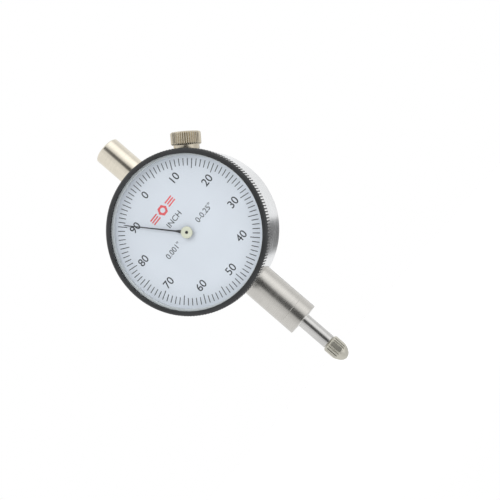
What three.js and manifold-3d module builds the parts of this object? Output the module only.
// Dial indicator with a 6.35 mm (1/4 inch) range and a dial of 100 thousandths of an inch.
// Millimetres. Facing the dial: X to the right, Y into the case, Z up along the spindle.
// The origin lies on the stem's axis, halfway along its clamping length.
import * as THREE from 'three';
import { mergeVertices } from 'three/addons/utils/BufferGeometryUtils.js';
import Module from 'manifold-3d';

const wasm = await Module();
wasm.setup();

// ---------------------------------------------------------------- driving dimensions
const DIAL_AXIS_Z = 29.8;          // dial axis above the middle of the stem's clamping length
const FIT_GAP = 0.05;              // between faces that rest on each other
const RUN_GAP = 0.1;               // around pieces that turn or slide in a hole
const TURN = 2 * Math.PI;
const RIM_SEGMENTS = 48;           // facets round the pieces as wide as the case
const SHAFT_SEGMENTS = 28;         // facets round the stem, the cap and the spindle

// Clamping stem and spindle, measured along Z from the dial axis.
const STEM_R = 9.525 / 2;          // the 3/8 inch stem that holders clamp
const STEM_TOP = -20.15;
const STEM_END = -37.85;
const STEM_BORE_R = 3.0;
const SPINDLE_R = 2.0;
const SPINDLE_TOP = 26.0;
const CONTACT_REAR = -47.1;
const CONTACT_TIP = -53.4;
const CONTACT_R = 2.5;
const STUB_R = 1.1;                // threaded stub of the contact point
const STUB_LENGTH = 4.5;
const TRAVEL = 6.6;                // range of 6.35 with a little over-travel

// Spindle cap above the case.
const CAP_R = 4.05;
const CAP_TOP = 34.75;
const CAP_FOOT = 19.4;

// Case, by depth along Y. The bezel's front edge is the foremost face.
const CASE_REAR = 5.2;
const CASE_SHOULDER = -8.5;
const CASE_FRONT = -9.9;
const CASE_R_REAR = 21.6;
const CASE_R_FRONT = 21.75;
const CASE_BORE_R = 20.1;
const SPIGOT_R = 20.9;
const WEB_HOLE_R = 2.6;

// Bezel, crystal and dial.
const BEZEL_FRONT = -13.74;
const BEZEL_OPENING_R = 20.77;
const BEZEL_LIP_R = 21.9;            // the smooth lip in front of the knurl
const BEZEL_KNURL_R = 22.25;
const BEZEL_SKIRT_R = 21.75;
const BEZEL_BORE_R = 21.15;
const KNURL_REAR = -10.0;
const SKIRT_REAR = -8.65;
const CRYSTAL_FRONT = -13.2;
const CRYSTAL_REAR = -12.2;
const DIAL_FRONT = -10.8;
const DIAL_REAR = -10.4;
const DIAL_R = 21.0;
const SNAP_WIRE_Y = -9.15;
const SNAP_WIRE_R = 0.25;
const SNAP_GROOVE_HALF = 0.3;
const SNAP_RING_R = 20.95;

// Back cover and its three screws.
const COVER_R = 21.2;
const COVER_THICKNESS = 2.0;
const COVER_SPIGOT_R = 19.9;
const COVER_SPIGOT_DEPTH = 0.6;
const COVER_SHANK_R = 0.95;
const COVER_SCREW_RADIUS = 18.0;
const COVER_SCREW_ANGLES = [0, TURN / 3, 2 * TURN / 3];
const BOSS_R = 2.0;

// Bezel clamp: a knurled screw through the case wall that drives a pin forward.
const CLAMP_ANGLE = THREE.MathUtils.degToRad(44);   // above +X, facing the dial
const CLAMP_Y = -5.6;
const CLAMP_HEAD_R = 4.1;
const CLAMP_HEAD_FOOT = 23.2;
const CLAMP_HEAD_TOP = 26.75;
const CLAMP_NECK_R = 3.5;
const CLAMP_SHANK_R = 1.5;
const CLAMP_BUSH_R = 2.4;
const CLAMP_BUSH_FOOT = 19.9;
const CLAMP_PIN_R = 0.7;
const CLAMP_PIN_RADIUS = 18.9;     // the pin's distance from the dial axis

// Gear train: rack -> rack pinion and wheel -> centre pinion -> take-up wheel.
const RACK_PITCH = 0.635;
const RACK_PINION_TEETH = 16;
const RACK_PINION_R = RACK_PINION_TEETH * RACK_PITCH / TURN;
const RACK_LINE_X = -1.45;         // the rack's pitch line, on the spindle's left side
const WHEEL_TEETH = 48;
const CENTRE_TEETH = 12;
const CENTRE_PINION_R = 1.5;
const WHEEL_R = CENTRE_PINION_R * WHEEL_TEETH / CENTRE_TEETH;
const CENTRE_DISTANCE = WHEEL_R + CENTRE_PINION_R;
const RACK_ARBOR_X = RACK_LINE_X - RACK_PINION_R;
const RACK_ARBOR_Z = -Math.sqrt(CENTRE_DISTANCE ** 2 - RACK_ARBOR_X ** 2);
const TAKEUP_ANGLE = THREE.MathUtils.degToRad(20);
const TAKEUP_X = CENTRE_DISTANCE * Math.cos(TAKEUP_ANGLE);
const TAKEUP_Z = CENTRE_DISTANCE * Math.sin(TAKEUP_ANGLE);
const WHEEL_FRONT = -6.3;
const WHEEL_REAR = -5.7;
const ARBOR_R = 0.5;

// Hairspring round the take-up arbor, and the stud that holds its outer end.
const HAIRSPRING_FRONT = -5.2;
const HAIRSPRING_REAR = -4.6;
const HAIRSPRING_START = -0.45;
const HAIRSPRING_STUD = [TAKEUP_X - 4.3, TAKEUP_Z + 1.4];

// Plates that carry the train, by depth.
const PLATE_FRONT = CASE_SHOULDER + FIT_GAP;
const PLATE_REAR = PLATE_FRONT + 1.0;
const PLATE_R = 14.5;
const CENTRE_BRIDGE_FRONT = -3.6;
const CENTRE_BRIDGE_REAR = -2.8;
const RACK_BRIDGE_FRONT = 2.4;
const RACK_BRIDGE_REAR = 3.2;
const JEWEL_R = 1.0;

// Guide that stops the spindle from turning, and the return spring beside it.
const GUIDE_PIN_Z = -3.0;
const GUIDE_PIN_R = 0.6;
const GUIDE_PIN_END_X = 9.2;
const GUIDE_LEFT = 3.6;
const GUIDE_RIGHT = 6.4;
const GUIDE_HALF_DEPTH = 2.5;
const SPRING_X = 8.0;
const SPRING_POST_Z = -16.9;
const SPRING_POST_R = 0.75;
const SPRING_COIL_R = 0.95;
const SPRING_WIRE_R = 0.16;
const SPRING_TURNS = 9;
const SPRING_FOOT = SPRING_POST_Z + 1.3;
const SPRING_HEAD = GUIDE_PIN_Z - 1.2;

// Pointer and the hub that carries it.
const POINTER_ANGLE = -0.095 * TURN;    // clockwise from the top of the dial
const POINTER_TIP = 17.8;
const HUB_R = 1.6;
const HUB_NECK_R = 0.8;
const HUB_BORE_R = 0.42;
const HUB_FLANGE_REAR = DIAL_FRONT - 0.95;

// ---------------------------------------------------------------- geometry helpers
function welded(geometry) {
  const bare = geometry.index ? geometry.toNonIndexed() : geometry.clone();
  bare.deleteAttribute('normal');
  bare.deleteAttribute('uv');
  const merged = mergeVertices(bare, 1e-5);
  const kept = [];
  const index = merged.index.array;
  for (let i = 0; i < index.length; i += 3) {
    const [a, b, c] = [index[i], index[i + 1], index[i + 2]];
    if (a !== b && b !== c && c !== a) {
      kept.push(a, b, c);
    }
  }
  merged.setIndex(kept);
  if (signedVolume(merged) < 0) {
    for (let i = 0; i < kept.length; i += 3) {
      [kept[i], kept[i + 1]] = [kept[i + 1], kept[i]];
    }
    merged.setIndex(kept);
  }
  return merged;
}

function signedVolume(geometry) {
  const position = geometry.attributes.position;
  const index = geometry.index.array;
  const [a, b, c] = [new THREE.Vector3(), new THREE.Vector3(), new THREE.Vector3()];
  let volume = 0;
  for (let i = 0; i < index.length; i += 3) {
    a.fromBufferAttribute(position, index[i]);
    b.fromBufferAttribute(position, index[i + 1]);
    c.fromBufferAttribute(position, index[i + 2]);
    volume += a.dot(b.cross(c)) / 6;
  }
  return volume;
}

function toSolid(geometry) {
  const closed = welded(geometry);
  const vertProperties = new Float32Array(closed.attributes.position.array);
  const triVerts = new Uint32Array(closed.index.array);
  return new wasm.Manifold(new wasm.Mesh({ numProp: 3, vertProperties, triVerts }));
}

function fromSolid(solid) {
  const mesh = solid.getMesh();
  const geometry = new THREE.BufferGeometry();
  geometry.setAttribute('position', new THREE.BufferAttribute(mesh.vertProperties, 3));
  geometry.setIndex(Array.from(mesh.triVerts));
  return geometry;
}

function cut(geometry, ...tools) {
  let solid = toSolid(geometry);
  for (const tool of tools) {
    solid = solid.subtract(toSolid(tool));
  }
  return fromSolid(solid);
}

function join(...geometries) {
  let solid = toSolid(geometries[0]);
  for (const other of geometries.slice(1)) {
    solid = solid.add(toSolid(other));
  }
  return fromSolid(solid);
}

// A profile of [radius, height] pairs turned about an axis; a ring's profile closes on itself.
function lathe(profile, segments) {
  const onAxis = profile[0][0] === 0 && profile[profile.length - 1][0] === 0;
  const outline = onAxis ? profile : [...profile, profile[0]];
  const points = outline.map(([radius, height]) => new THREE.Vector2(radius, height));
  return welded(new THREE.LatheGeometry(points, segments));
}

function turnedY(profile, segments, x = 0, z = 0) {
  return lathe(profile, segments).translate(x, 0, z);
}

function turnedZ(profile, segments, x = 0, y = 0) {
  return lathe(profile, segments).rotateX(TURN / 4).translate(x, y, 0);
}

function turnedX(profile, segments, y = 0, z = 0) {
  return lathe(profile, segments).rotateZ(-TURN / 4).translate(0, y, z);
}

// A piece turned about the radial line of the bezel clamp; heights are distances from the dial axis.
function turnedOnClampAxis(profile, segments) {
  return lathe(profile, segments).rotateX(TURN / 4).rotateY(TURN / 4 - CLAMP_ANGLE)
    .translate(0, CLAMP_Y, 0);
}

function rod(radius, start, end) {
  return [[0, start], [radius, start], [radius, end], [0, end]];
}

function tube(inner, outer, start, end) {
  return [[inner, start], [outer, start], [outer, end], [inner, end]];
}

// An outline drawn in X and Z, as seen from the front, with depth from front to rear.
function prismY(shape, front, rear, curveSegments = 12) {
  const options = { depth: rear - front, bevelEnabled: false, curveSegments };
  return welded(new THREE.ExtrudeGeometry(shape, options).rotateX(TURN / 4).translate(0, rear, 0));
}

function block(x0, x1, y0, y1, z0, z1) {
  return new THREE.BoxGeometry(x1 - x0, y1 - y0, z1 - z0)
    .translate((x0 + x1) / 2, (y0 + y1) / 2, (z0 + z1) / 2);
}

function wire(path, radius, steps) {
  const section = new THREE.Shape().absarc(0, 0, radius, 0, TURN);
  const options = { steps, extrudePath: path, curveSegments: 3, bevelEnabled: false };
  return welded(new THREE.ExtrudeGeometry(section, options));
}

function polar(radius, angle) {
  return [radius * Math.cos(angle), radius * Math.sin(angle)];
}

function shapeOf(points) {
  return new THREE.Shape(points.map(([x, z]) => new THREE.Vector2(x, z)));
}

function circleHole(x, z, radius) {
  return new THREE.Path().absarc(x, z, radius, 0, TURN, true);
}

// The outline of a gear or a knurl: trapezoid teeth, the first one centred on the phase angle.
function toothedOutline({ teeth, pitchR, addendum, dedendum, rootShare, tipShare, phase, x = 0, z = 0 }) {
  const pitch = TURN / teeth;
  const points = [];
  for (let i = 0; i < teeth; i += 1) {
    const middle = phase + i * pitch;
    const corners = [
      [pitchR - dedendum, -rootShare / 2],
      [pitchR + addendum, -tipShare / 2],
      [pitchR + addendum, tipShare / 2],
      [pitchR - dedendum, rootShare / 2],
    ];
    for (const [radius, share] of corners) {
      const [px, pz] = polar(radius, middle + share * pitch);
      points.push([x + px, z + pz]);
    }
  }
  return shapeOf(points);
}

// The phase of a wheel that meshes with a pinion, with the wheel's centre at an angle from the pinion's.
function matingPhase(angle, pinionPhase, pinionTeeth, wheelTeeth) {
  const pinionPitch = TURN / pinionTeeth;
  const lead = (angle - pinionPhase) % pinionPitch;
  const space = angle + Math.PI + lead * pinionTeeth / wheelTeeth;
  return space + Math.PI / wheelTeeth;
}

// ---------------------------------------------------------------- case, stem and cap
function caseBody() {
  const grooveFloor = SPIGOT_R - 0.35;
  const edge = 0.3;
  const shell = turnedY([
    [CASE_BORE_R, CASE_REAR],
    [CASE_BORE_R, CASE_SHOULDER],
    [WEB_HOLE_R, CASE_SHOULDER],
    [WEB_HOLE_R, CASE_FRONT],
    [SPIGOT_R, CASE_FRONT],
    [SPIGOT_R, SNAP_WIRE_Y - SNAP_GROOVE_HALF],
    [grooveFloor, SNAP_WIRE_Y - SNAP_GROOVE_HALF],
    [grooveFloor, SNAP_WIRE_Y + SNAP_GROOVE_HALF],
    [SPIGOT_R, SNAP_WIRE_Y + SNAP_GROOVE_HALF],
    [SPIGOT_R, CASE_SHOULDER],
    [CASE_R_FRONT, CASE_SHOULDER],
    [CASE_R_REAR, CASE_REAR - edge],
    [CASE_R_REAR - edge, CASE_REAR],
  ], RIM_SEGMENTS);
  const bosses = COVER_SCREW_ANGLES.map((angle) => {
    const [x, z] = polar(COVER_SCREW_RADIUS, angle);
    return turnedY(rod(BOSS_R, CASE_SHOULDER - 0.5, CASE_REAR - 0.8), 12, x, z);
  });
  const [pinX, pinZ] = polar(CLAMP_PIN_RADIUS, CLAMP_ANGLE);
  const pinBoss = turnedY(rod(CLAMP_PIN_R + 0.8, CASE_SHOULDER - 0.5, CLAMP_Y - 1.4), 12, pinX, pinZ);
  const screwHoles = COVER_SCREW_ANGLES.map((angle) => {
    const [x, z] = polar(COVER_SCREW_RADIUS, angle);
    return turnedY(rod(COVER_SHANK_R + 0.15, 1.0, CASE_REAR + 1), 8, x, z);
  });
  const tappedR = PLATE_SHANK_R + 0.15;
  const plateHoles = PLATE_SCREWS.map(([x, z]) => (
    turnedY(rod(tappedR, CASE_FRONT + 0.3, PLATE_REAR), 8, x, z)
  ));
  return cut(
    join(shell, ...bosses, pinBoss),
    ...screwHoles,
    ...plateHoles,
    turnedZ(rod(STEM_R + RUN_GAP, -CASE_R_FRONT - 1, -17), SHAFT_SEGMENTS),
    turnedZ(rod(CAP_R + RUN_GAP, 17, CASE_R_FRONT + 1), SHAFT_SEGMENTS),
    turnedOnClampAxis(rod(CLAMP_BUSH_R + RUN_GAP, CLAMP_BUSH_FOOT - 0.3, CASE_R_FRONT + 1), 18),
    turnedOnClampAxis(rod(CLAMP_SHANK_R + RUN_GAP, 17, CLAMP_BUSH_FOOT + 0.1), 12),
    turnedY(rod(CLAMP_PIN_R + RUN_GAP, CASE_FRONT - 1, CLAMP_Y), 10, pinX, pinZ),
    turnedY(rod(SPRING_POST_R + RUN_GAP, CASE_FRONT + 0.2, 0), 8, SPRING_X, SPRING_POST_Z),
  );
}

function stem() {
  const chamfer = 0.2;
  return turnedZ([
    [STEM_BORE_R, STEM_TOP],
    [STEM_BORE_R, STEM_END],
    [STEM_R - chamfer, STEM_END],
    [STEM_R, STEM_END + chamfer],
    [STEM_R, STEM_TOP],
  ], SHAFT_SEGMENTS);
}

function lowerBushing() {
  const recess = 0.15;
  const length = 10.85;
  const foot = STEM_END + recess;
  const lipEnd = STEM_END - 0.2;    // a narrow lip that stands out of the stem round the spindle
  const lipR = SPINDLE_R + 0.25;
  return turnedZ([
    [SPINDLE_R + RUN_GAP, lipEnd],
    [lipR, lipEnd],
    [lipR, foot],
    [STEM_BORE_R - FIT_GAP, foot],
    [STEM_BORE_R - FIT_GAP, foot + length],
    [SPINDLE_R + RUN_GAP, foot + length],
  ], SHAFT_SEGMENTS);
}

function upperBushing() {
  const flangeFoot = 17.6;
  const flangeTop = 19.0;
  const flangeR = 3.9;
  const sleeveR = 2.9;
  const sleeveTop = 24.5;
  return turnedZ([
    [SPINDLE_R + RUN_GAP, flangeFoot],
    [flangeR, flangeFoot],
    [flangeR, flangeTop],
    [sleeveR, flangeTop],
    [sleeveR, sleeveTop],
    [SPINDLE_R + RUN_GAP, sleeveTop],
  ], SHAFT_SEGMENTS);
}

function topCap() {
  const chamfer = 0.35;
  const boreR = 3.0;
  const crown = 1.2;
  return turnedZ([
    [boreR, CAP_FOOT],
    [boreR, CAP_TOP - crown],
    [0, CAP_TOP - crown],
    [0, CAP_TOP],
    [CAP_R - chamfer, CAP_TOP],
    [CAP_R, CAP_TOP - chamfer],
    [CAP_R, CAP_FOOT],
    [boreR, CAP_FOOT],
  ], SHAFT_SEGMENTS);
}

// ---------------------------------------------------------------- spindle group
function spindle() {
  const shaft = turnedZ([
    [0, CONTACT_REAR + STUB_LENGTH + 0.5],
    [STUB_R + RUN_GAP, CONTACT_REAR + STUB_LENGTH + 0.5],
    [STUB_R + RUN_GAP, CONTACT_REAR + FIT_GAP],
    [SPINDLE_R - 0.25, CONTACT_REAR + FIT_GAP],
    [SPINDLE_R, CONTACT_REAR + FIT_GAP + 0.25],
    [SPINDLE_R, SPINDLE_TOP - 0.4],
    [SPINDLE_R - 0.4, SPINDLE_TOP],
    [0, SPINDLE_TOP],
  ], SHAFT_SEGMENTS);
  const pinHole = turnedX(rod(GUIDE_PIN_R + FIT_GAP, -3, 3), 12, 0, GUIDE_PIN_Z);
  return cut(shaft, rackGaps(), pinHole);
}

// One comb-shaped tool: the flat on the spindle's side and the gaps between the rack's teeth.
function rackGaps() {
  const gaps = 21;
  const gapsBelowArbor = 16;
  const tipX = RACK_LINE_X - 0.13;
  const rootX = RACK_LINE_X + 0.24;
  const lowest = RACK_ARBOR_Z - gapsBelowArbor * RACK_PITCH;
  const highest = lowest + (gaps - 1) * RACK_PITCH;
  const points = [[-3, highest + RACK_PITCH], [-3, lowest - RACK_PITCH], [tipX, lowest - RACK_PITCH]];
  for (let i = 0; i < gaps; i += 1) {
    const z = lowest + i * RACK_PITCH;
    points.push([tipX, z - 0.37 * RACK_PITCH]);
    points.push([rootX, z - 0.2 * RACK_PITCH]);
    points.push([rootX, z + 0.2 * RACK_PITCH]);
    points.push([tipX, z + 0.37 * RACK_PITCH]);
  }
  points.push([tipX, highest + RACK_PITCH]);
  return prismY(shapeOf(points), -3, 3);
}

// Plain behind, then a blunt bullet-shaped nose.
function contactPoint() {
  const noseTop = CONTACT_REAR - 3.5;
  const profile = [[0, CONTACT_TIP]];
  const noseSteps = 7;
  for (let i = 1; i <= noseSteps; i += 1) {
    const t = (1 - i / noseSteps) ** 1.6;
    profile.push([CONTACT_R * (1 - t ** 1.4) ** 0.42, noseTop + (CONTACT_TIP - noseTop) * t]);
  }
  profile.push([CONTACT_R, CONTACT_REAR - 0.5]);
  profile.push([CONTACT_R - 0.5, CONTACT_REAR]);
  profile.push([STUB_R, CONTACT_REAR]);
  profile.push([STUB_R, CONTACT_REAR + STUB_LENGTH]);
  profile.push([0, CONTACT_REAR + STUB_LENGTH]);
  return turnedZ(profile, 24);
}

function guidePin() {
  return turnedX([
    [0, -1.2],
    [GUIDE_PIN_R, -1.2],
    [GUIDE_PIN_R, GUIDE_PIN_END_X - 1.0],
    [GUIDE_PIN_R - 0.2, GUIDE_PIN_END_X - 1.0],
    [GUIDE_PIN_R - 0.2, GUIDE_PIN_END_X - 0.4],
    [GUIDE_PIN_R, GUIDE_PIN_END_X - 0.4],
    [GUIDE_PIN_R, GUIDE_PIN_END_X],
    [0, GUIDE_PIN_END_X],
  ], 12, 0, GUIDE_PIN_Z);
}

// The coils of the extension spring, between the fixed post and the guide pin.
class SpringHelix extends THREE.Curve {
  getPoint(t, target = new THREE.Vector3()) {
    const [x, y] = polar(SPRING_COIL_R, t * SPRING_TURNS * TURN);
    return target.set(SPRING_X + x, y, SPRING_FOOT + (SPRING_HEAD - SPRING_FOOT) * t);
  }
}

function returnSpring() {
  return wire(new SpringHelix(), SPRING_WIRE_R, SPRING_TURNS * 8);
}

// ---------------------------------------------------------------- gear train
const WHEEL_TOOTH = { addendum: 0.11, dedendum: 0.19, rootShare: 0.56, tipShare: 0.2 };
const PINION_TOOTH = { addendum: 0.11, dedendum: 0.18, rootShare: 0.56, tipShare: 0.2 };

function rackPinion() {
  const outline = toothedOutline({
    teeth: RACK_PINION_TEETH, pitchR: RACK_PINION_R, addendum: 0.13, dedendum: 0.24,
    rootShare: 0.6, tipShare: 0.22, phase: 0, x: RACK_ARBOR_X, z: RACK_ARBOR_Z,
  });
  const arbor = turnedY([
    [0, PLATE_FRONT + 0.1],
    [ARBOR_R, PLATE_FRONT + 0.1],
    [ARBOR_R, PLATE_REAR + 0.2],
    [0.8, PLATE_REAR + 0.2],
    [0.8, RACK_BRIDGE_FRONT - 0.3],
    [ARBOR_R, RACK_BRIDGE_FRONT - 0.3],
    [ARBOR_R, RACK_BRIDGE_REAR - 0.1],
    [0, RACK_BRIDGE_REAR - 0.1],
  ], 16, RACK_ARBOR_X, RACK_ARBOR_Z);
  return join(arbor, prismY(outline, -1.7, 1.7));
}

function centrePinion() {
  const outline = toothedOutline({
    teeth: CENTRE_TEETH, pitchR: CENTRE_PINION_R, ...PINION_TOOTH, phase: centrePhase(),
  });
  const arbor = turnedY([
    [0, DIAL_FRONT - 0.9],
    [0.35, DIAL_FRONT - 0.9],
    [0.35, DIAL_FRONT - 0.3],
    [0.45, DIAL_REAR + 0.2],
    [ARBOR_R, DIAL_REAR + 0.3],
    [ARBOR_R, CENTRE_BRIDGE_REAR - 0.1],
    [0, CENTRE_BRIDGE_REAR - 0.1],
  ], 16);
  return join(arbor, prismY(outline, WHEEL_FRONT - 0.6, WHEEL_REAR + 0.6));
}

function centrePhase() {
  return Math.atan2(RACK_ARBOR_Z, RACK_ARBOR_X);
}

function wheel(x, z, boreR) {
  const angle = Math.atan2(z, x);
  const phase = matingPhase(angle, centrePhase(), CENTRE_TEETH, WHEEL_TEETH);
  const outline = toothedOutline({ teeth: WHEEL_TEETH, pitchR: WHEEL_R, ...WHEEL_TOOTH, phase, x, z });
  outline.holes.push(circleHole(x, z, boreR));
  for (let i = 0; i < 4; i += 1) {
    const [hx, hz] = polar(3.4, angle + (i + 0.5) * TURN / 4);
    outline.holes.push(circleHole(x + hx, z + hz, 1.4));
  }
  return prismY(outline, WHEEL_FRONT, WHEEL_REAR, 6);
}

function takeupArbor() {
  return turnedY([
    [0, PLATE_FRONT + 0.1],
    [ARBOR_R, PLATE_FRONT + 0.1],
    [ARBOR_R, PLATE_REAR + 0.2],
    [0.8, PLATE_REAR + 0.2],
    [0.8, CENTRE_BRIDGE_FRONT - 0.25],
    [ARBOR_R, CENTRE_BRIDGE_FRONT - 0.25],
    [ARBOR_R, CENTRE_BRIDGE_REAR - 0.1],
    [0, CENTRE_BRIDGE_REAR - 0.1],
  ], 16, TAKEUP_X, TAKEUP_Z);
}

// A flat spiral whose outer end stops just short of the stud.
function hairspring() {
  const turns = 3.5;
  const innerR = 1.15;
  const outerR = 4.1;
  const thickness = 0.14;
  const steps = Math.round(turns * 13);
  const spiralPoint = (i, offset) => {
    const t = i / steps;
    const radius = innerR + (outerR - innerR) * t + offset;
    const [px, pz] = polar(radius, HAIRSPRING_START + t * turns * TURN);
    return [TAKEUP_X + px, TAKEUP_Z + pz];
  };
  const outside = [];
  const inside = [];
  for (let i = 0; i <= steps; i += 1) {
    outside.push(spiralPoint(i, thickness / 2));
    inside.unshift(spiralPoint(i, -thickness / 2));
  }
  return prismY(shapeOf([...outside, ...inside]), HAIRSPRING_FRONT, HAIRSPRING_REAR);
}

function hairspringStud() {
  const [x, z] = HAIRSPRING_STUD;
  return turnedY(rod(0.5, HAIRSPRING_FRONT, CENTRE_BRIDGE_FRONT - FIT_GAP), 12, x, z);
}

// ---------------------------------------------------------------- movement plates and fasteners
const PLATE_SHANK_R = 0.7;
const BRIDGE_SHANK_R = 0.6;
const TRAIN_HEAD_R = 1.3;
const PILLAR_R = 1.3;
const BRIDGE_EDGE_R = 1.9;         // from a pillar's or an arbor's axis to the bridge's edge
const PLATE_SCREWS = [[-6.0, 11.5], [8.5, -8.8]];
const CENTRE_PILLARS = [[-4.6, 3.6], [12.0, -3.0]];
const RACK_PILLARS = [[-11.2, -4.6], [-8.6, 5.6]];
const GUIDE_SCREW = [5.0, -7.9];

function roundedPlate(centre, radius, holes) {
  const shape = new THREE.Shape().absarc(centre[0], centre[1], radius, 0, TURN);
  for (const [x, z, holeR] of holes) {
    shape.holes.push(circleHole(x, z, holeR));
  }
  return shape;
}

function movementPlate() {
  const jewelR = JEWEL_R + FIT_GAP;
  return prismY(roundedPlate([0, 0], PLATE_R, [
    [0, 0, jewelR],
    [RACK_ARBOR_X, RACK_ARBOR_Z, jewelR],
    [TAKEUP_X, TAKEUP_Z, jewelR],
    ...PLATE_SCREWS.map(([x, z]) => [x, z, PLATE_SHANK_R + 0.15]),
    [...GUIDE_SCREW, BRIDGE_SHANK_R + 0.15],
  ]), PLATE_FRONT, PLATE_REAR, 9);
}

// A bridge is the outline that wraps a chain of circles, like a belt round pulleys.
function bridgeOutline(chain, radius) {
  const points = [];
  const corners = 9;
  for (const [x, z] of chain) {
    for (let i = 0; i < corners; i += 1) {
      const [px, pz] = polar(radius, i * TURN / corners);
      points.push([x + px, z + pz]);
    }
  }
  return shapeOf(convexHull(points));
}

function convexHull(points) {
  const sorted = [...points].sort((a, b) => a[0] - b[0] || a[1] - b[1]);
  const side = (list) => {
    const hull = [];
    for (const p of list) {
      while (hull.length > 1 && turnsRight(hull[hull.length - 2], hull[hull.length - 1], p)) {
        hull.pop();
      }
      hull.push(p);
    }
    return hull.slice(0, -1);
  };
  return [...side(sorted), ...side(sorted.reverse())];
}

function turnsRight(a, b, c) {
  return (b[0] - a[0]) * (c[1] - a[1]) - (b[1] - a[1]) * (c[0] - a[0]) <= 0;
}

// A bridge with a jewel hole for each arbor and a screw hole at each pillar.
function bridge(arbors, pillars, front, rear) {
  const outline = bridgeOutline([...pillars, ...arbors], BRIDGE_EDGE_R);
  for (const [x, z] of arbors) {
    outline.holes.push(circleHole(x, z, JEWEL_R + FIT_GAP));
  }
  for (const [x, z] of pillars) {
    outline.holes.push(circleHole(x, z, BRIDGE_SHANK_R + 0.15));
  }
  return prismY(outline, front, rear, 8);
}

function centreBridge() {
  const arbors = [[0, 0], [TAKEUP_X, TAKEUP_Z]];
  return bridge(arbors, CENTRE_PILLARS, CENTRE_BRIDGE_FRONT, CENTRE_BRIDGE_REAR);
}

function rackBridge() {
  const arbors = [[RACK_ARBOR_X, RACK_ARBOR_Z]];
  return bridge(arbors, RACK_PILLARS, RACK_BRIDGE_FRONT, RACK_BRIDGE_REAR);
}

function pillar([x, z], bridgeFront) {
  const tappedR = BRIDGE_SHANK_R + 0.1;
  const tappedDepth = 2.4;
  return turnedY([
    [0, PLATE_REAR + FIT_GAP],
    [PILLAR_R, PLATE_REAR + FIT_GAP],
    [PILLAR_R, bridgeFront - FIT_GAP],
    [tappedR, bridgeFront - FIT_GAP],
    [tappedR, bridgeFront - tappedDepth],
    [0, bridgeFront - tappedDepth],
  ], 12, x, z);
}

// A cheese-head screw along Y with its slotted head to the rear.
function slottedScrew([x, z], seat, tip, headR, headHeight, shankR) {
  const slot = block(-headR - 1, headR + 1, seat + headHeight * 0.55, seat + headHeight + 1, -0.15, 0.15);
  const body = turnedY([
    [0, tip],
    [shankR, tip],
    [shankR, seat],
    [headR, seat],
    [headR, seat + headHeight],
    [0, seat + headHeight],
  ], 10);
  return cut(body, slot.rotateY(0.6)).translate(x, 0, z);
}

function jewel([x, z], front, rear) {
  return turnedY(tube(ARBOR_R + RUN_GAP, JEWEL_R, front, rear), 12, x, z);
}

function spindleGuide() {
  const slotHalf = GUIDE_PIN_R + 0.12;
  const slotTop = GUIDE_PIN_Z + TRAVEL + slotHalf + 0.3;
  const foot = -9.6;
  const top = 5.6;
  const ledge = -6.2;              // top of the leg that reaches forward to the plate
  const body = join(
    block(GUIDE_LEFT, GUIDE_RIGHT, -GUIDE_HALF_DEPTH, GUIDE_HALF_DEPTH, foot, top),
    block(GUIDE_LEFT, GUIDE_RIGHT, PLATE_REAR + FIT_GAP, 0.5 - GUIDE_HALF_DEPTH, foot, ledge),
  );
  return cut(
    body,
    block(GUIDE_LEFT - 1, GUIDE_RIGHT + 1, -slotHalf, slotHalf, GUIDE_PIN_Z - slotHalf, slotTop),
    turnedY(rod(BRIDGE_SHANK_R + 0.15, -9, 3), 12, ...GUIDE_SCREW),
  );
}

function guideScrew() {
  const seat = GUIDE_HALF_DEPTH + FIT_GAP;
  return slottedScrew(GUIDE_SCREW, seat, PLATE_FRONT + 0.2, TRAIN_HEAD_R, 0.7, BRIDGE_SHANK_R);
}

function springPost() {
  return turnedY([
    [0, CASE_FRONT + 0.3],
    [SPRING_POST_R, CASE_FRONT + 0.3],
    [SPRING_POST_R, -0.5],
    [SPRING_POST_R - 0.25, -0.5],
    [SPRING_POST_R - 0.25, 0.5],
    [SPRING_POST_R, 0.5],
    [SPRING_POST_R, 1.2],
    [0, 1.2],
  ], 12, SPRING_X, SPRING_POST_Z);
}

// ---------------------------------------------------------------- pointer, dial, crystal and bezel
// The hub's flange stands in front of the pointer, and its neck goes through the pointer's eye.
function pointerHub() {
  const rear = DIAL_FRONT - 0.3;
  const front = CRYSTAL_REAR + 0.1;
  const edge = 0.15;
  return turnedY([
    [HUB_BORE_R, rear],
    [HUB_NECK_R, rear],
    [HUB_NECK_R, HUB_FLANGE_REAR],
    [HUB_R, HUB_FLANGE_REAR],
    [HUB_R, front + edge],
    [HUB_R - edge, front],
    [HUB_BORE_R, front],
  ], 24);
}

function pointer() {
  const rootHalf = 0.42;
  const tipHalf = 0.16;
  const eyeR = HUB_R - 0.15;
  const waistHalf = 0.22;
  const waist = 2.8;
  const needle = shapeOf([
    [-rootHalf, 1.1],
    [-waistHalf, waist],
    [-tipHalf, POINTER_TIP - 0.4],
    [0, POINTER_TIP],
    [tipHalf, POINTER_TIP - 0.4],
    [waistHalf, waist],
    [rootHalf, 1.1],
  ]);
  const eye = new THREE.Shape().absarc(0, 0, eyeR, 0, TURN);
  const front = HUB_FLANGE_REAR + FIT_GAP;
  const rear = front + 0.2;
  const blade = join(prismY(needle, front, rear), prismY(eye, front, rear, 10));
  const hole = turnedY(rod(HUB_NECK_R + FIT_GAP, front - 1, rear + 1), 24);
  return cut(blade, hole).rotateY(POINTER_ANGLE);
}

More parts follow.
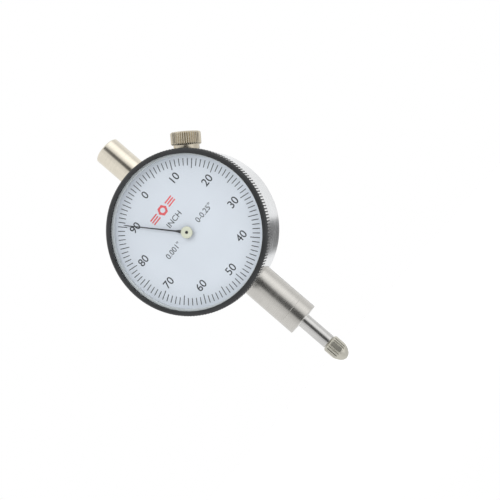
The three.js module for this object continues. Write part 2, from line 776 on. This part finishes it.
function bezel() {
  return turnedY([
    [BEZEL_OPENING_R, BEZEL_FRONT],
    [BEZEL_LIP_R, BEZEL_FRONT + 0.35],
    [BEZEL_KNURL_R, BEZEL_FRONT + 0.55],
    [BEZEL_KNURL_R, KNURL_REAR],
    [BEZEL_SKIRT_R, KNURL_REAR + 0.1],
    [BEZEL_SKIRT_R, SKIRT_REAR],
    [BEZEL_BORE_R, SKIRT_REAR],
    [BEZEL_BORE_R, SNAP_WIRE_Y + SNAP_GROOVE_HALF],
    [BEZEL_BORE_R + 0.2, SNAP_WIRE_Y + SNAP_GROOVE_HALF],
    [BEZEL_BORE_R + 0.2, SNAP_WIRE_Y - SNAP_GROOVE_HALF],
    [BEZEL_BORE_R, SNAP_WIRE_Y - SNAP_GROOVE_HALF],
    [BEZEL_BORE_R, CRYSTAL_FRONT - FIT_GAP],
    [BEZEL_OPENING_R, CRYSTAL_FRONT - FIT_GAP],
  ], RIM_SEGMENTS);
}

function crystal() {
  return turnedY(rod(DIAL_R, CRYSTAL_FRONT, CRYSTAL_REAR), RIM_SEGMENTS);
}

function dialSpacer() {
  return turnedY(tube(20.4, DIAL_R, CRYSTAL_REAR + FIT_GAP, DIAL_FRONT - FIT_GAP), RIM_SEGMENTS);
}

function dialPlate() {
  return turnedY(tube(1.2, DIAL_R, DIAL_FRONT, DIAL_REAR), RIM_SEGMENTS);
}

// A split ring behind the dial, open at the bottom; the clamp pin presses on it.
function dialRetainer() {
  const outer = DIAL_R;
  const inner = 18.1;
  const gap = 0.06;
  const start = -TURN / 4 + gap;
  const end = TURN * 3 / 4 - gap;
  const shape = new THREE.Shape();
  shape.absarc(0, 0, outer, start, end, false);
  shape.absarc(0, 0, inner, end, start, true);
  return prismY(shape, DIAL_REAR + FIT_GAP, DIAL_REAR + 0.35, RIM_SEGMENTS / 2);
}

// A split wire in the groove between the bezel and the case, open for a fiftieth of a turn each side.
class SplitRing extends THREE.Curve {
  getPoint(t, target = new THREE.Vector3()) {
    const angle = TURN * (0.02 + 0.96 * t);
    return target.set(SNAP_RING_R * Math.cos(angle), SNAP_WIRE_Y, SNAP_RING_R * Math.sin(angle));
  }
}

function snapRing() {
  return wire(new SplitRing(), SNAP_WIRE_R, RIM_SEGMENTS);
}

// ---------------------------------------------------------------- bezel clamp
function clampKnob() {
  const knurl = toothedOutline({
    teeth: 26, pitchR: CLAMP_HEAD_R, addendum: 0, dedendum: 0.2, rootShare: 0.8, tipShare: 0.3, phase: 0,
  });
  const coreR = CLAMP_HEAD_R - 0.5;
  const neckFoot = 22.0;
  const coneTip = 17.9;
  const coneRoot = 19.5;
  const headDepth = CLAMP_HEAD_TOP - CLAMP_HEAD_FOOT - 0.2;
  const head = new THREE.ExtrudeGeometry(knurl, { depth: headDepth, bevelEnabled: false })
    .translate(0, 0, CLAMP_HEAD_FOOT)
    .rotateY(TURN / 4 - CLAMP_ANGLE)
    .translate(0, CLAMP_Y, 0);
  const core = turnedOnClampAxis([
    [0, coneTip],
    [0.5, coneTip],
    [CLAMP_SHANK_R, coneRoot],
    [CLAMP_SHANK_R, neckFoot],
    [CLAMP_NECK_R, neckFoot],
    [CLAMP_NECK_R, CLAMP_HEAD_FOOT + 0.1],
    [coreR, CLAMP_HEAD_FOOT + 0.1],
    [coreR, CLAMP_HEAD_TOP],
    [0, CLAMP_HEAD_TOP],
  ], 24);
  return join(head, core);
}

function clampBush() {
  return turnedOnClampAxis(tube(CLAMP_SHANK_R + RUN_GAP, CLAMP_BUSH_R, CLAMP_BUSH_FOOT, 21.6), 18);
}

function clampPin() {
  const [x, z] = polar(CLAMP_PIN_RADIUS, CLAMP_ANGLE);
  return turnedY([
    [0, CASE_FRONT + 0.15],
    [CLAMP_PIN_R, CASE_FRONT + 0.15],
    [CLAMP_PIN_R, CLAMP_Y - 2.1],
    [CLAMP_PIN_R - 0.4, CLAMP_Y - 1.7],
    [0, CLAMP_Y - 1.7],
  ], 16, x, z);
}

// ---------------------------------------------------------------- back cover
const COVER_FRONT = CASE_REAR + FIT_GAP;
const COVER_REAR = COVER_FRONT + COVER_THICKNESS;
const COUNTERBORE_DEPTH = 0.9;
const COUNTERBORE_R = 1.9;
const COVER_EDGE = 0.35;

function backCover() {
  const disc = turnedY([
    [0, COVER_FRONT - COVER_SPIGOT_DEPTH],
    [COVER_SPIGOT_R, COVER_FRONT - COVER_SPIGOT_DEPTH],
    [COVER_SPIGOT_R, COVER_FRONT],
    [COVER_R, COVER_FRONT],
    [COVER_R, COVER_REAR - COVER_EDGE],
    [COVER_R - COVER_EDGE, COVER_REAR],
    [0, COVER_REAR],
  ], RIM_SEGMENTS);
  const holes = COVER_SCREW_ANGLES.flatMap((angle) => {
    const [x, z] = polar(COVER_SCREW_RADIUS, angle);
    const through = turnedY(rod(COVER_SHANK_R + 0.25, COVER_FRONT - 2, COVER_REAR + 1), 10, x, z);
    const floor = COVER_REAR - COUNTERBORE_DEPTH;
    const counterbore = turnedY(rod(COUNTERBORE_R, floor, COVER_REAR + 1), 14, x, z);
    return [through, counterbore];
  });
  return cut(disc, ...holes);
}

function coverScrew(angle) {
  const seat = COVER_REAR - COUNTERBORE_DEPTH + FIT_GAP;
  return slottedScrew(polar(COVER_SCREW_RADIUS, angle), seat, 2.0, COUNTERBORE_R - 0.2, 0.75, COVER_SHANK_R);
}

// ---------------------------------------------------------------- assembly
const finish = (color, metalness, roughness) => ({ color, metalness, roughness });
const SATIN_STEEL = finish(0xb9b9b4, 1.0, 0.35);
const NICKEL = finish(0xd9d2bd, 1.0, 0.22);
const CASE_ALLOY = finish(0xc4c6c5, 0.9, 0.38);
const BLACK_ENAMEL = finish(0x2b2d2d, 0.3, 0.45);
const DARK_PLATE = finish(0x545456, 0.2, 0.55);
const DIAL_WHITE = finish(0xdde3ea, 0.0, 0.6);
const ACRYLIC = finish(0xf4f8fb, 0.0, 0.05);
const BRASS = finish(0xc6a455, 1.0, 0.3);
const RUBY = finish(0xa31f3c, 0.0, 0.15);
const POINTER_BLACK = finish(0x1c1c1e, 0.0, 0.5);

const indicator = new THREE.Group();
const dialFrame = new THREE.Group();
dialFrame.position.z = DIAL_AXIS_Z;
indicator.add(dialFrame);

function add(name, geometry, look) {
  const mesh = new THREE.Mesh(geometry, new THREE.MeshStandardMaterial(look));
  mesh.name = name;
  if (look === ACRYLIC) {
    mesh.material.transparent = true;
    mesh.material.opacity = 0.3;
  }
  dialFrame.add(mesh);
}

add('case_body', caseBody(), CASE_ALLOY);
add('stem', stem(), SATIN_STEEL);
add('lower_bushing', lowerBushing(), SATIN_STEEL);
add('upper_bushing', upperBushing(), BRASS);
add('top_cap', topCap(), NICKEL);

add('spindle', spindle(), SATIN_STEEL);
add('contact_point', contactPoint(), SATIN_STEEL);
add('guide_pin', guidePin(), SATIN_STEEL);
add('return_spring', returnSpring(), SATIN_STEEL);
add('spring_post', springPost(), BRASS);
add('spindle_guide', spindleGuide(), BRASS);
add('guide_screw', guideScrew(), SATIN_STEEL);

add('movement_plate', movementPlate(), BRASS);
PLATE_SCREWS.forEach((place, i) => {
  const seat = PLATE_REAR + FIT_GAP;
  const screw = slottedScrew(place, seat, CASE_FRONT + 0.5, TRAIN_HEAD_R, 0.6, PLATE_SHANK_R);
  add(`plate_screw_${i + 1}`, screw, SATIN_STEEL);
});
add('centre_bridge', centreBridge(), BRASS);
add('rack_bridge', rackBridge(), BRASS);
const PILLAR_SETS = [
  ['centre', CENTRE_PILLARS, CENTRE_BRIDGE_FRONT, CENTRE_BRIDGE_REAR],
  ['rack', RACK_PILLARS, RACK_BRIDGE_FRONT, RACK_BRIDGE_REAR],
];
for (const [label, places, front, rear] of PILLAR_SETS) {
  places.forEach((place, i) => {
    add(`${label}_pillar_${i + 1}`, pillar(place, front), BRASS);
    const screw = slottedScrew(place, rear + FIT_GAP, front - 2.0, TRAIN_HEAD_R, 0.6, BRIDGE_SHANK_R);
    add(`${label}_bridge_screw_${i + 1}`, screw, SATIN_STEEL);
  });
}
const ARBORS = [
  ['centre', [0, 0], CENTRE_BRIDGE_FRONT, CENTRE_BRIDGE_REAR],
  ['rack', [RACK_ARBOR_X, RACK_ARBOR_Z], RACK_BRIDGE_FRONT, RACK_BRIDGE_REAR],
  ['takeup', [TAKEUP_X, TAKEUP_Z], CENTRE_BRIDGE_FRONT, CENTRE_BRIDGE_REAR],
];
for (const [label, place, front, rear] of ARBORS) {
  add(`${label}_front_jewel`, jewel(place, PLATE_FRONT, PLATE_REAR), RUBY);
  add(`${label}_rear_jewel`, jewel(place, front, rear), RUBY);
}

add('rack_pinion', rackPinion(), SATIN_STEEL);
add('rack_wheel', wheel(RACK_ARBOR_X, RACK_ARBOR_Z, 0.8 + FIT_GAP), BRASS);
add('centre_pinion', centrePinion(), SATIN_STEEL);
add('takeup_arbor', takeupArbor(), SATIN_STEEL);
add('takeup_wheel', wheel(TAKEUP_X, TAKEUP_Z, 0.8 + FIT_GAP), BRASS);
add('hairspring', hairspring(), SATIN_STEEL);
add('hairspring_stud', hairspringStud(), BRASS);

add('pointer_hub', pointerHub(), BRASS);
add('pointer', pointer(), POINTER_BLACK);
add('dial_plate', dialPlate(), DIAL_WHITE);
add('dial_spacer', dialSpacer(), DIAL_WHITE);
add('dial_retainer', dialRetainer(), SATIN_STEEL);
add('crystal', crystal(), ACRYLIC);
add('bezel', bezel(), BLACK_ENAMEL);
add('snap_ring', snapRing(), SATIN_STEEL);

add('clamp_knob', clampKnob(), NICKEL);
add('clamp_bush', clampBush(), BRASS);
add('clamp_pin', clampPin(), BRASS);

add('back_cover', backCover(), DARK_PLATE);
COVER_SCREW_ANGLES.forEach((angle, i) => add(`cover_screw_${i + 1}`, coverScrew(angle), SATIN_STEEL));

export default indicator;
